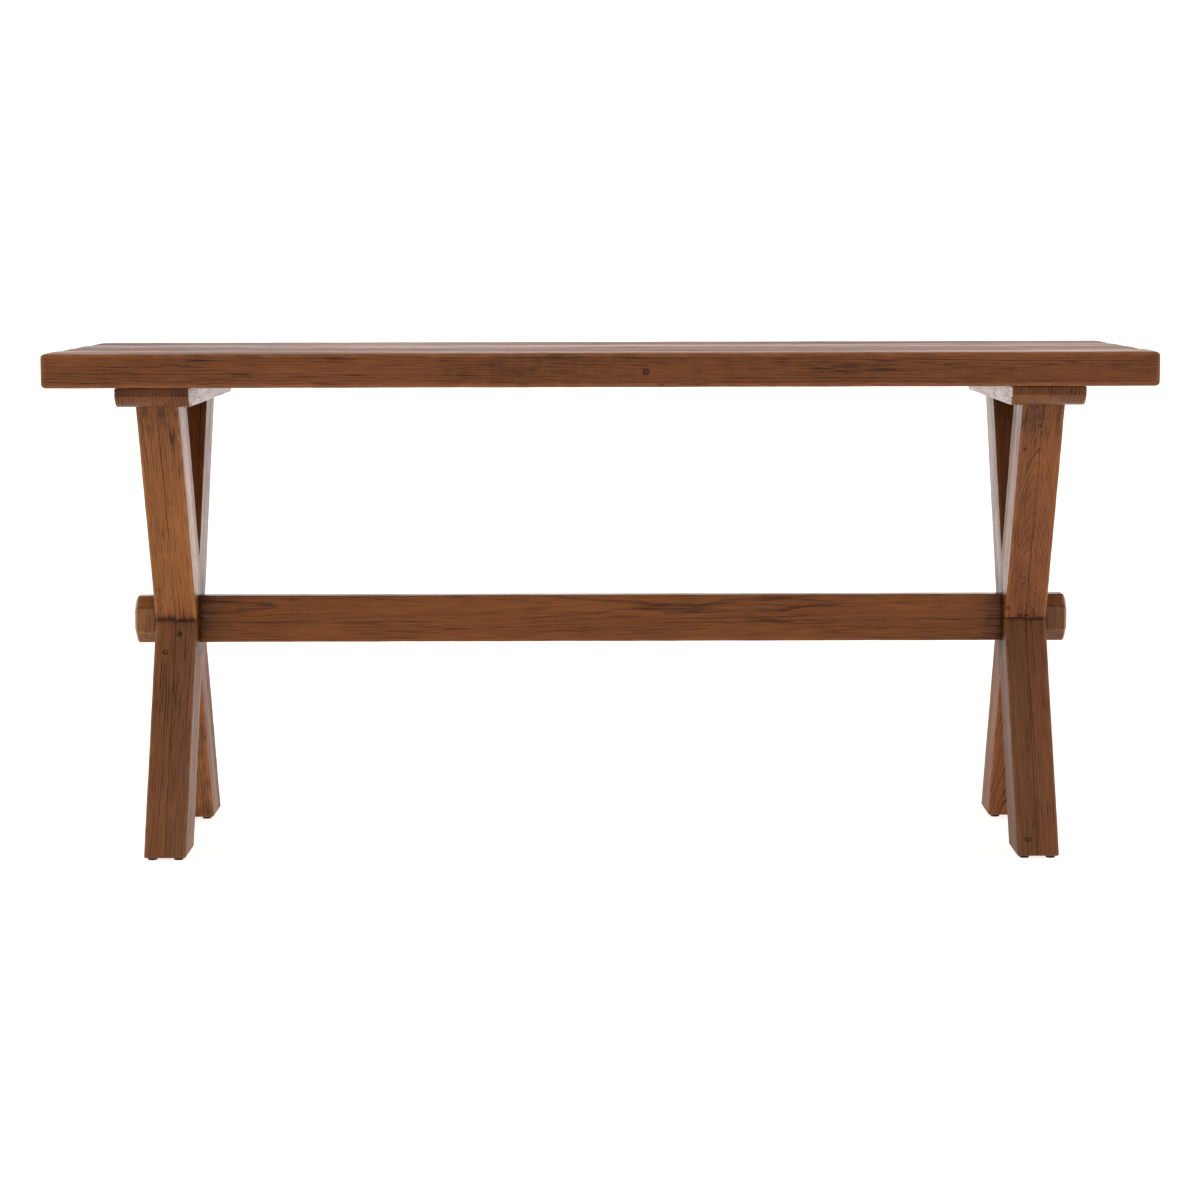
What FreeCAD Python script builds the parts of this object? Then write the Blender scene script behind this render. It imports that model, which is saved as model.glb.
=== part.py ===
import FreeCAD, Part
import math
import os

# Trestle table at bar height: a plank top on two X trestles that a stretcher joins.
# Millimetres. X runs along the top, -Y is the front, +Z is up.
# The origin is on the floor, below the middle of the top.

Vector = FreeCAD.Vector
ORIGIN = Vector(0, 0, 0)
ALONG_X = Vector(1, 0, 0)
UP = Vector(0, 0, 1)
SIDES = {"left": -1, "right": 1}
BOTH_WAYS = (-1, 1)

# Overall sizes
top_length = 2286.0
table_height = 1067.0

# Top planks, from front to rear, and the loose tongues in their seams
top_thickness = 72.0
plank_names = ("front", "mid_front", "mid_rear", "rear")
plank_widths = (190.0, 205.0, 198.0, 220.0)
plank_end_setbacks = (0.0, 3.0, 1.0, 2.0)
top_arris_radius = 6.0
seam_groove_depth = 1.5
spline_names = ("front", "middle", "rear")
spline_width = 40.0
spline_thickness = 12.0
spline_end_stop = 60.0

# Cleats
cleat_flange = 31.5
cleat_thickness = 40.0
cleat_end_setback = 11.0
cleat_end_chamfer_length = 24.0
cleat_end_chamfer_height = 20.0
cleat_arris = 2.5

# Trestle legs, each glued up from two boards side by side
trestle_inset = 225.0
leg_board_thickness = 44.5
leg_depth = 125.0
leg_setback = 79.0
leg_arris_radius = 4.0
foot_chamfer = 3.0
leg_tenon_thickness = 40.0
leg_tenon_depth = 64.0
leg_tenon_length = 26.0

# Stretcher
stretcher_height = 102.0
stretcher_thickness = 37.0
stretcher_drop = 3.0
stretcher_arris = 2.5
stub_tenon_length = 26.0
stub_tenon_height = 62.0
stub_tenon_thickness = 21.0

# Octagonal end blocks, as high as the stretcher
block_length = 52.0
block_depth = 85.0
block_chamfer = 24.0
block_arris = 6.0
block_stub_length = 9.0

# Bolts with square heads, and square nuts, that hold the stretcher
bolt_diameter = 10.0
bolt_head_size = 17.0
bolt_head_height = 7.0
bolt_recess_size = 30.0
bolt_recess_depth = 20.0
bolt_end_spare = 8.0
nut_size = 18.0
nut_thickness = 8.0
nut_setback = 50.0

# Coach screws and plate washers between cleats and top
screw_diameter = 8.0
screw_head_flats = 13.0
screw_head_height = 5.5
screw_grip = 45.0
screw_travel = 8.0
screw_pocket_depth = 10.0
washer_size = 20.0
washer_thickness = 2.0

# Glides and their square nails
glide_diameter = 20.0
glide_height = 5.0
glide_inset = 17.0
nail_size = 2.5
nail_length = 18.0
nail_start = 2.0

# Clearances: at each side of a snug piece, at each side of a free one, and past the end of a tenon or screw
close_fit = 0.1
loose_fit = 0.5
end_room = 1.0

# Places that follow from the sizes
top_depth = sum(plank_widths)
top_underside = table_height - top_thickness
cleat_underside = top_underside - cleat_thickness
cleat_width = 2 * (leg_board_thickness + cleat_flange)
cleat_length = top_depth - 2 * cleat_end_setback
leg_spread = cleat_length - 2 * leg_setback
half_spread = leg_spread / 2
leg_height = cleat_underside - glide_height
crossing_height = glide_height + leg_height / 2
stretcher_centre = crossing_height - stretcher_drop
stretcher_underside = stretcher_centre - stretcher_height / 2
trestle_places = {side: sign * (top_length / 2 - trestle_inset) for side, sign in SIDES.items()}
outer_faces = {side: trestle_places[side] + sign * leg_board_thickness for side, sign in SIDES.items()}
inner_faces = {side: trestle_places[side] - sign * leg_board_thickness for side, sign in SIDES.items()}
outward = {side: ALONG_X * sign for side, sign in SIDES.items()}

# The legs' lean from the upright: stock of leg_depth, cut level at top and foot, then fills leg_spread
leg_lean = math.acos(leg_depth / math.hypot(leg_spread, leg_height)) - math.atan2(leg_height, leg_spread)
leg_cut_length = leg_depth / math.cos(leg_lean)
leg_top_centre = half_spread - leg_cut_length / 2


def save(name, *solids):
    """Writes one node: a single solid, or a group of like solids."""
    shape = solids[0] if len(solids) == 1 else Part.makeCompound(list(solids))
    if len(shape.Solids) != len(solids) or not shape.isValid():
        raise ValueError(f"{name} should be {len(solids)} valid solids and has {len(shape.Solids)}")
    shape.exportStep(f"parts/{name}.step")


def box(x_range, y_range, z_range):
    low = Vector(x_range[0], y_range[0], z_range[0])
    return Part.makeBox(x_range[1] - x_range[0], y_range[1] - y_range[0], z_range[1] - z_range[0], low)


def around(centre, size):
    """The range of a size that is centred on a place."""
    return (centre - size / 2, centre + size / 2)


def rod(start, direction, diameter, length):
    return Part.makeCylinder(diameter / 2, length, start, direction)


def prism_along_x(outline, x_range):
    """A solid whose section is an outline of (y, z) points."""
    corners = [Vector(x_range[0], y, z) for y, z in outline]
    face = Part.Face(Part.makePolygon(corners + corners[:1]))
    return face.extrude(ALONG_X * (x_range[1] - x_range[0]))


def hexagon_prism(base, across_flats, height):
    """An upright hexagonal prism that stands on its base point."""
    radius = across_flats / math.sqrt(3)
    angles = [math.radians(60 * step) for step in range(6)]
    corners = [base + Vector(radius * math.cos(angle), radius * math.sin(angle), 0) for angle in angles]
    return Part.Face(Part.makePolygon(corners + corners[:1])).extrude(UP * height)


def square_plate(size, thickness, bore):
    """An upright square plate on the origin, with a bore through its middle."""
    plate = box(around(0, size), around(0, size), (0, thickness))
    return plate.cut(rod(ORIGIN, UP, bore, thickness))


def placed(shape, position, direction=UP):
    """A copy of an upright shape, turned to a direction and moved to a position."""
    copy = shape.copy()
    copy.Placement = FreeCAD.Placement(position, FreeCAD.Rotation(UP, direction))
    return copy


def lies_on_level(edge, level):
    bounds = edge.BoundBox
    return math.isclose(bounds.ZMin, level, abs_tol=0.01) and math.isclose(bounds.ZMax, level, abs_tol=0.01)


def rounded(shape, radius, chosen):
    return shape.makeFillet(radius, [edge for edge in shape.Edges if chosen(edge)])


def chamfered(shape, size, chosen):
    return shape.makeChamfer(size, [edge for edge in shape.Edges if chosen(edge)])


# Top planks and loose tongues

plank_edges = [-top_depth / 2]
for width in plank_widths:
    plank_edges.append(plank_edges[-1] + width)
plank_ranges = list(zip(plank_edges[:-1], plank_edges[1:]))
seam_places = plank_edges[1:-1]


def whole_top(length):
    """The top as one slab of a length, with round edges above and below."""
    slab = box(around(0, length), around(0, top_depth), (top_underside, table_height))
    return rounded(slab, top_arris_radius, lambda edge: edge.BoundBox.ZLength < top_thickness / 2)


def spline_box(seam, room):
    """A loose tongue or, with room at its edges and ends, its groove."""
    length = top_length - 2 * spline_end_stop
    return box(around(0, length + 2 * room), around(seam, spline_width + 2 * room),
               around(table_height - top_thickness / 2, spline_thickness))


def seam_groove(seam):
    """The small V that the eased edges of two planks leave along their seam."""
    outline = [(seam - seam_groove_depth, table_height), (seam, table_height - seam_groove_depth),
               (seam + seam_groove_depth, table_height)]
    return prism_along_x(outline, around(0, top_length))


def make_top():
    cuts = [spline_box(seam, end_room) for seam in seam_places]
    cuts += [seam_groove(seam) for seam in seam_places]
    cuts += [rod(place, UP, screw_diameter + 2 * close_fit, screw_grip + end_room)
             for side in SIDES for place in screw_places(side)]
    for name, y_range, setback in zip(plank_names, plank_ranges, plank_end_setbacks):
        length = top_length - 2 * setback
        strip = box(around(0, length), y_range, (top_underside, table_height))
        plank = whole_top(length).common(strip).cut(cuts)
        save(f"top_plank_{name}", plank.Solids[0])
    for name, seam in zip(spline_names, seam_places):
        save(f"plank_spline_{name}", spline_box(seam, 0))


# Coach screws and washers that hold the top on the cleats

washer_level = cleat_underside + screw_pocket_depth - washer_thickness


def screw_places(side):
    """The points on the top's underside where screws hold the planks, in both flanges of a cleat by turns."""
    reach = leg_board_thickness + cleat_flange / 2
    return [Vector(trestle_places[side] + reach * (-1) ** number, sum(y_range) / 2, top_underside)
            for number, y_range in enumerate(plank_ranges)]


def screw_cuts(place):
    """The pocket and the slot for a screw in a cleat, with travel for planks that shrink and swell."""
    pocket_side = washer_size + 2 * loose_fit
    slot_side = screw_diameter + 2 * loose_fit
    pocket = box(around(place.x, pocket_side), around(place.y, pocket_side + screw_travel),
                 (cleat_underside, cleat_underside + screw_pocket_depth))
    slot = box(around(place.x, slot_side), around(place.y, slot_side + screw_travel),
               (cleat_underside, top_underside))
    return [pocket, slot]


def make_top_screws():
    places = [Vector(place.x, place.y, washer_level) for side in SIDES for place in screw_places(side)]
    head = hexagon_prism(UP * -screw_head_height, screw_head_flats, screw_head_height)
    screw = head.fuse(rod(ORIGIN, UP, screw_diameter, top_underside - washer_level + screw_grip))
    washer = square_plate(washer_size, washer_thickness, screw_diameter + 2 * loose_fit)
    save("top_screws", *[placed(screw, place) for place in places])
    save("top_screw_washers", *[placed(washer, place) for place in places])


# Cleats

leg_top_signs = {"a": -1, "b": 1}


def leg_tenon_box(side, leg, room):
    """The tenon on a leg's top or, with room at its end, its mortise."""
    return box(around(trestle_places[side], leg_tenon_thickness),
               around(leg_top_signs[leg] * leg_top_centre, leg_tenon_depth),
               (cleat_underside, cleat_underside + leg_tenon_length + room))


def make_cleat(side):
    """A cleat with chamfered lower ends, mortises for the legs and pockets for the top's screws."""
    half = cleat_length / 2
    lower_half = half - cleat_end_chamfer_length
    chamfer_top = cleat_underside + cleat_end_chamfer_height
    outline = [(-half, top_underside), (half, top_underside), (half, chamfer_top),
               (lower_half, cleat_underside), (-lower_half, cleat_underside), (-half, chamfer_top)]
    board = prism_along_x(outline, around(trestle_places[side], cleat_width))
    board = chamfered(board, cleat_arris, lambda edge: not lies_on_level(edge, top_underside))
    cuts = [leg_tenon_box(side, leg, end_room) for leg in leg_top_signs]
    for place in screw_places(side):
        cuts += screw_cuts(place)
    save(f"{side}_cleat", board.cut(cuts).Solids[0])


# Trestle legs: half-lapped into an X, and divided into their boards

leg_outlines = {
    "a": [(-half_spread, cleat_underside), (leg_cut_length - half_spread, cleat_underside),
          (half_spread, glide_height), (half_spread - leg_cut_length, glide_height)],
    "b": [(half_spread - leg_cut_length, cleat_underside), (half_spread, cleat_underside),
          (leg_cut_length - half_spread, glide_height), (-half_spread, glide_height)],
}
leg_arms = (("a", -1, 1), ("a", 1, -1), ("b", 1, 1), ("b", -1, -1))


def eased_leg(outline, x_range):
    """One whole leg with a chamfered foot and four round edges."""
    leg = prism_along_x(outline, x_range)
    leg = chamfered(leg, foot_chamfer, lambda edge: lies_on_level(edge, glide_height))
    return rounded(leg, leg_arris_radius, lambda edge: edge.BoundBox.ZLength > leg_height / 2)


def eased_cross(x_range):
    """Both legs as one X. The round edges of each arm end in the notches between the arms."""
    arms = []
    for leg, y_sign, z_sign in leg_arms:
        y_range = sorted((0, y_sign * leg_spread))
        z_range = sorted((crossing_height, crossing_height + z_sign * leg_height))
        arms.append(eased_leg(leg_outlines[leg], x_range).common(box(x_range, y_range, z_range)))
    return arms[0].fuse(arms[1:]).removeSplitter()


def leg_boards(side):
    """The six boards of a trestle. Leg a is long in the half towards +X, and leg b in the other half."""
    middle = trestle_places[side]
    cross = eased_cross(around(middle, 2 * leg_board_thickness))
    halves = {"a": (middle, middle + leg_board_thickness), "b": (middle - leg_board_thickness, middle)}
    boards = {}
    for leg, other in (("a", "b"), ("b", "a")):
        long_half = box(halves[leg], around(0, top_depth), (0, table_height))
        short_half = box(halves[other], around(0, top_depth), (0, table_height))
        tenon = leg_tenon_box(side, leg, 0)
        crossing_board = prism_along_x(leg_outlines[other], halves[other])
        short_boards = cross.common(short_half).cut(crossing_board).Solids
        lower, upper = sorted(short_boards, key=lambda solid: solid.CenterOfMass.z)
        boards[f"leg_{leg}_lower_board"] = lower
        boards[f"leg_{leg}_upper_board"] = upper.fuse(tenon.common(short_half))
        own_outline = prism_along_x(leg_outlines[leg], halves[leg])
        other_outline = prism_along_x(leg_outlines[other], halves[leg])
        long_board = cross.common(long_half).cut(other_outline.cut(own_outline))
        boards[f"leg_{leg}_long_board"] = long_board.fuse(tenon.common(long_half))
    return boards


def make_trestle(side):
    cuts = [bolt_bore(side), bolt_recess(side, bolt_recess_depth, 0), stub_tenon_box(side, end_room)]
    cuts += [nail_box(place, close_fit) for place in glide_places(side)]
    for name, board in leg_boards(side).items():
        save(f"{side}_{name}", board.cut(cuts).Solids[0])


# Stretcher, and the bolts and nuts that hold its ends in the crossings

def stub_tenon_box(side, room):
    """The tenon on an end of the stretcher or, with room at its end, its mortise."""
    end = inner_faces[side] + SIDES[side] * (stub_tenon_length + room)
    return box(sorted((inner_faces[side], end)), around(0, stub_tenon_thickness),
               around(stretcher_centre, stub_tenon_height))


def bolt_recess(side, depth, room):
    """The square recess for a bolt's head or, with room at its sides, the end block's stub that closes it."""
    floor = outer_faces[side] - SIDES[side] * depth
    return box(sorted((outer_faces[side], floor)), around(0, bolt_recess_size - 2 * room),
               around(stretcher_centre, bolt_recess_size - 2 * room))


def bolt_seat(side):
    """The middle of the recess's floor, on which the bolt's head bears."""
    return Vector(outer_faces[side] - SIDES[side] * bolt_recess_depth, 0, stretcher_centre)


def nut_place(side):
    """The middle of the nut's face towards the trestle."""
    return Vector(inner_faces[side] - SIDES[side] * nut_setback, 0, stretcher_centre)


bolt_length = (bolt_seat("left") - nut_place("left")).Length + nut_thickness + bolt_end_spare


def bolt_bore(side):
    return rod(bolt_seat(side), -outward[side], bolt_diameter + 2 * loose_fit, bolt_length + end_room)


def nut_pocket(side):
    """The pocket for a nut, cut from the stretcher's underside."""
    near = nut_place(side).x + SIDES[side] * close_fit
    far = near - SIDES[side] * (nut_thickness + 2 * close_fit)
    return box(sorted((near, far)), around(0, nut_size + 2 * close_fit),
               (stretcher_underside, stretcher_centre + nut_size / 2 + close_fit))


def make_stretcher():
    body = box((inner_faces["left"], inner_faces["right"]), around(0, stretcher_thickness),
               around(stretcher_centre, stretcher_height))
    body = chamfered(body, stretcher_arris, lambda edge: edge.BoundBox.XLength > stretcher_height)
    board = body.fuse([stub_tenon_box(side, 0) for side in SIDES])
    cuts = [cut(side) for side in SIDES for cut in (bolt_bore, nut_pocket)]
    save("stretcher", board.cut(cuts).Solids[0])


def make_stretcher_bolts():
    head = box(around(0, bolt_head_size), around(0, bolt_head_size), (0, bolt_head_height))
    bolt = head.fuse(rod(ORIGIN, -UP, bolt_diameter, bolt_length))
    nut = square_plate(nut_size, nut_thickness, bolt_diameter + 2 * close_fit)
    save("stretcher_bolts", *[placed(bolt, bolt_seat(side), outward[side]) for side in SIDES])
    save("stretcher_nuts", *[placed(nut, nut_place(side), -outward[side]) for side in SIDES])


# End blocks, whose stubs close the recesses over the bolts' heads

def make_end_block(side):
    wide = block_depth / 2
    narrow = wide - block_chamfer
    high = stretcher_height / 2
    low = high - block_chamfer
    section = [(-wide, -low), (-narrow, -high), (narrow, -high), (wide, -low),
               (wide, low), (narrow, high), (-narrow, high), (-wide, low)]
    outline = [(y, stretcher_centre + z) for y, z in section]
    end = outer_faces[side] + SIDES[side] * block_length
    block = prism_along_x(outline, sorted((outer_faces[side], end)))
    block = chamfered(block, block_arris, lambda edge: abs(edge.CenterOfMass.x - end) < block_arris)
    save(f"{side}_end_block", block.fuse(bolt_recess(side, block_stub_length, close_fit)))


# Glides under the feet, and their nails

def glide_places(side):
    """The points on the floor below the four glides of each foot of a trestle."""
    outer_row = half_spread - glide_inset
    inner_row = half_spread - leg_cut_length + glide_inset
    reach = leg_board_thickness - glide_inset
    return [Vector(trestle_places[side] + x_sign * reach, y_sign * row, 0)
            for y_sign in BOTH_WAYS for row in (outer_row, inner_row) for x_sign in BOTH_WAYS]


def nail_box(place, room):
    """A square nail or, with room at its sides, its hole."""
    return box(around(place.x, nail_size + 2 * room), around(place.y, nail_size + 2 * room),
               (nail_start, nail_start + nail_length))


def make_glides():
    places = [place for side in SIDES for place in glide_places(side)]
    pad = rod(ORIGIN, UP, glide_diameter, glide_height).cut(nail_box(ORIGIN, close_fit))
    save("glides", *[placed(pad, place) for place in places])
    save("glide_nails", *[nail_box(place, 0) for place in places])


os.makedirs("parts", exist_ok=True)
make_top()
make_top_screws()
for side_name in SIDES:
    make_cleat(side_name)
    make_trestle(side_name)
    make_end_block(side_name)
make_stretcher()
make_stretcher_bolts()
make_glides()
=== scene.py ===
import math

import bmesh
import bpy
import numpy as np
from mathutils import Matrix, Vector


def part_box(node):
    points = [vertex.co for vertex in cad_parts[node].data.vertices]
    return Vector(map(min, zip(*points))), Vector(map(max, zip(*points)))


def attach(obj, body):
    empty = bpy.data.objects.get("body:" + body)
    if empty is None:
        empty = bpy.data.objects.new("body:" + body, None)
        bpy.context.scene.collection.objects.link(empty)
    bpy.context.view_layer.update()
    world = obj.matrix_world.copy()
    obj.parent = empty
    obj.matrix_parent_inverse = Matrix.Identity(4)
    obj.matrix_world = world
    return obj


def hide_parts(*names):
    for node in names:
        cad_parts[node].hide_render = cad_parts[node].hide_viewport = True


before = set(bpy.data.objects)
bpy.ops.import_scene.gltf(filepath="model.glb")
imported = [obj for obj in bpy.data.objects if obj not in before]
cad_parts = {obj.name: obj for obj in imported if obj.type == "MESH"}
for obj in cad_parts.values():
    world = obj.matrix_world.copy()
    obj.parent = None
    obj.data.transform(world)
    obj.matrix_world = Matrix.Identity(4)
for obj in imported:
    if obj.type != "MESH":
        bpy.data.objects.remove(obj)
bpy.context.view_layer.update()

# A trestle bar table of worn, brown-stained softwood under a satin lacquer.
# Metres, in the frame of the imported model: X along the top, -Y the front, +Z up.

BODY = "root"
SIDES = ("left", "right")
PLANK_NAMES = ("front", "mid_front", "mid_rear", "rear")
LEG_PARTS = ("long", "lower", "upper")

# Sizes that a node's box doesn't show by itself
LEG_DEPTH = 0.125
CLEAT_CHAMFER_LENGTH = 0.024
CLEAT_CHAMFER_HEIGHT = 0.02
BLOCK_CHAMFER = 0.024
SCREW_POCKET = (0.021, 0.029, 0.01)
NUT_POCKET_ROOM = 0.0001
NUT_THICKNESS = 0.008
POCKET_MOUTH = 0.004
GLIDE_RADIUS = 0.01
GLIDE_INSET = 0.017

# Eased edges and ends, and how far a plank's upper face is crowned
TOP_ARRIS = 0.006
TOP_END_EASE = 0.011
TOP_CROWN = 0.0012
SEAM_ARRIS = 0.0024
CLEAT_ARRIS = 0.0025
LEG_ARRIS = 0.004
GLUE_LINE_ARRIS = 0.0005
BUTT_EASE = 0.0011
FOOT_EASE = 0.004
STRETCHER_ARRIS = 0.0025
BLOCK_ARRIS = 0.0016
GLIDE_RIM = 0.0012
GLIDE_TAPER = 0.0003

# What part of an end's easing a side takes in a seam and in a glue line
SEAM_END_SHARE = 0.12
GLUE_LINE_END_SHARE = 0.08

# The bevel round an end block's end: how long, how deep, and the power that makes it bulge
BLOCK_END_EASE = 0.009
BLOCK_END_INSET = 0.022
BLOCK_END_BULGE = 1.45

# How finely a piece is divided
RING_STEP = 0.012
SIDE_STEP = 0.011
SUPPORT = 0.0035
MOST_SUPPORT_SHARE = 0.3
ARC_STEPS = 4
EASE_STEPS = 3
BLOCK_RINGS = 6
CAP_SCALES = (0.25, 0.5, 0.75, 0.97)
GLIDE_SIDES = 32

# How far hand work and use have moved a face or an arris
FACE_WAVE = 0.0005
FACE_WAVE_LENGTH = 0.31
ARRIS_WAVE_LENGTH = 0.085
ARRIS_LEAST_SHARE = 0.8
ARRIS_WAVE_SHARE = 0.45
NICK_SPACING = 0.22
NICK_DEPTH = 0.0008
NICK_LEAST_SHARE = 0.2
NICK_HALF_WIDTHS = (0.006, 0.02)
LEAST_RADIUS = 0.0002
BUTT_FADE = 0.012

# A wandering line is a sum of waves, each shorter and weaker than the one before
WAVE_COUNT = 4
WAVE_SHORTENING = 1.83
WAVE_WEAKENING = 1.5
WAVE_SPAN = 4.0

# Arris radius that shows full wear, least easing of an end whose rim shows any wear and painted
# highlight, and the wear of a block's rim
WORN_RADIUS = 0.002
LEAST_WORN_EASE = 0.002
BLOCK_RIM_WEAR = 0.12

# How far darkening reaches from one piece over another: painted shade from a cleat, from the rear feet
# and on the stretcher's ends from the legs; stain with painted shade from the stretcher; darker round an
# end block and at a block's joint
CLEAT_REACH = 0.1
STRETCHER_REACH = 0.042
END_BLOCK_REACH = 0.016
REAR_FOOT_REACH = 0.1
STRETCHER_END_REACHES = {"left": 0.035, "right": 0.055}
BLOCK_JOINT_REACH = 0.008

# How much each darkens: painted shade under a cleat (less on a board already in the shade of the top), by
# the rear feet, at the stretcher's ends and on an end block's lower chamfers; stain with painted shade
# beside the stretcher; darker round an end block; stain in seams, glue lines and end grain; darker lines
# on an end block's upper corners
CLEAT_PAINTED_SHADES = {"left": 0.62, "right": 0.75}
SHADED_BOARD_CLEAT_PAINTED_SHADE = 0.2
STRETCHER_STAIN_AND_PAINTED_SHADE = {"left": 1.35, "right": 1.1}
END_BLOCK_DARKENING = 1.0
REAR_FOOT_PAINTED_SHADES = {"left": 0.68, "right": 0.15}
STRETCHER_END_PAINTED_SHADE = 0.78
SEAM_SOAK = 0.9
GLUE_LINE_SOAK = 0.45
END_GRAIN_SOAK = 0.55
LOWER_CHAMFER_PAINTED_SHADE = 0.5
BLOCK_UPPER_LINE_DARKENING = 0.65

# Seeds of the chance in shapes and looks, and how far it moves a field of noise
SHAPE_SEEDS = {"plank": 100, "cleat": 120, "stretcher": 140, "leg": 300}
LOOK_SEEDS = {"plank": 200, "cleat": 220, "stretcher": 240, "block": 260, "spline": 280, "leg": 400}
STEEL_SEED = 11
PLASTIC_SEED = 12
NOISE_SHIFT = 30


def wander(rng, places, wave_length, size):
    """A smooth line of chance along a board, between 0 and size."""
    total = np.zeros_like(places)
    for number in range(WAVE_COUNT):
        turns = places / wave_length * WAVE_SHORTENING ** number
        total += np.sin(2 * math.pi * (turns + rng.random())) / WAVE_WEAKENING ** number
    return size * np.clip(0.5 + total / WAVE_SPAN, 0, 1)


def nicks(rng, places, length):
    """Small knocks at random places along an arris."""
    depth = np.zeros_like(places)
    for _ in range(int(length / NICK_SPACING) + 1):
        middle = rng.uniform(0, length)
        half_width = rng.uniform(*NICK_HALF_WIDTHS)
        deepest = rng.uniform(NICK_LEAST_SHARE, 1) * NICK_DEPTH
        depth += deepest * np.exp(-((places - middle) / half_width) ** 2)
    return depth


def side_fractions(length):
    """Places of the points along a flat side, as parts of its length."""
    support = min(SUPPORT / length, MOST_SUPPORT_SHARE)
    count = max(int(length / SIDE_STEP), 1)
    return np.linspace(support, 1 - support, count + 1)


def rounded_section(low, high, floor, ceiling, radii):
    """A rounded rectangle at each station: points across and through, and each line's corner or -1."""
    centres = (
        (low + radii[0], floor + radii[0]),
        (high - radii[1], floor + radii[1]),
        (high - radii[2], ceiling - radii[2]),
        (low + radii[3], ceiling - radii[3]),
    )
    spans = (high - low, ceiling - floor) * 2

    def on_arc(corner, turn):
        centre = centres[corner]
        return centre[0] + radii[corner] * math.cos(turn), centre[1] + radii[corner] * math.sin(turn)

    lines = []
    at_corner = []
    for corner in range(4):
        turn = math.pi + corner * math.pi / 2
        for step in range(ARC_STEPS + 1):
            lines.append(on_arc(corner, turn + step * math.pi / 2 / ARC_STEPS))
            at_corner.append(corner)
        end = lines[-1]
        start = on_arc((corner + 1) % 4, turn + math.pi / 2)
        for part in side_fractions(float(np.max(spans[corner]))):
            lines.append([last + (first - last) * part for last, first in zip(end, start)])
            at_corner.append(-1)
    across, through = (np.stack(values, axis=1) for values in zip(*lines))
    return across, through, at_corner


def with_caps(rings):
    """Adds the shrinking rings that fill both ends of a loft."""
    def shrunk(ring, scale):
        middle = (ring.min(axis=0) + ring.max(axis=0)) / 2
        return middle + (ring - middle) * scale
    first = [shrunk(rings[0], scale) for scale in CAP_SCALES]
    last = [shrunk(rings[-1], scale) for scale in reversed(CAP_SCALES)]
    return np.concatenate([first, rings, last])


def with_cap_values(values, at_caps):
    """The values of a capped loft's points, from those of its rings."""
    cap = np.full((len(CAP_SCALES), values.shape[1]), at_caps)
    return np.concatenate([np.concatenate([cap, values, cap]).ravel(), [at_caps, at_caps]])


def loft(rings):
    """Points and faces of a closed skin over rings of points, with a fan at each end."""
    stations, count = rings.shape[:2]
    index = np.arange(stations * count).reshape(stations, count)
    here = index[:-1]
    ahead = index[1:]
    quads = np.stack([here, np.roll(here, -1, 1), np.roll(ahead, -1, 1), ahead], axis=-1).reshape(-1, 4)
    faces = quads.tolist()
    for ring, pole in ((index[0], stations * count), (index[-1], stations * count + 1)):
        faces += [[a, b, pole] for a, b in zip(ring.tolist(), np.roll(ring, -1).tolist())]
    poles = [rings[0].mean(axis=0), rings[-1].mean(axis=0)]
    return np.concatenate([rings.reshape(-1, 3), poles]), faces


def smooth_mesh(name, points, faces):
    """A smooth-shaded mesh with its faces turned outwards."""
    mesh = bpy.data.meshes.new(name)
    mesh.from_pydata(points.tolist(), [], faces)
    shell = bmesh.new()
    shell.from_mesh(mesh)
    bmesh.ops.recalc_face_normals(shell, faces=shell.faces)
    shell.to_mesh(mesh)
    shell.free()
    mesh.shade_smooth()
    return mesh


def add_object(name, data):
    """A new object in the scene."""
    added = bpy.data.objects.new(name, data)
    bpy.context.scene.collection.objects.link(added)
    return added


def place_piece(name, mesh, material, node):
    """Puts a piece in the scene in place of a CAD node."""
    piece = add_object(name, mesh)
    mesh.materials.append(material)
    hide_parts(node)
    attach(piece, BODY)
    return piece


def store(mesh, name, values):
    """Stores a number or a place for each point of a mesh."""
    kind, field = ("FLOAT", "value") if values.ndim == 1 else ("FLOAT_VECTOR", "vector")
    attribute = mesh.attributes.new(name, kind, "POINT")
    attribute.data.foreach_set(field, values.astype(np.float32).ravel())


def points_of(mesh):
    """The points of a mesh as rows of three numbers."""
    points = np.empty(len(mesh.vertices) * 3, dtype=np.float32)
    mesh.vertices.foreach_get("co", points)
    return points.reshape(-1, 3).astype(float)


def nearness(points, box, reach):
    """How near points are to a box: 1 at it, and less with the distance."""
    low, high = (np.array(corner) for corner in box)
    outside = np.maximum(np.maximum(low - points, points - high), 0)
    return np.exp(-(np.linalg.norm(outside, axis=1) / reach) ** 2)


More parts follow.
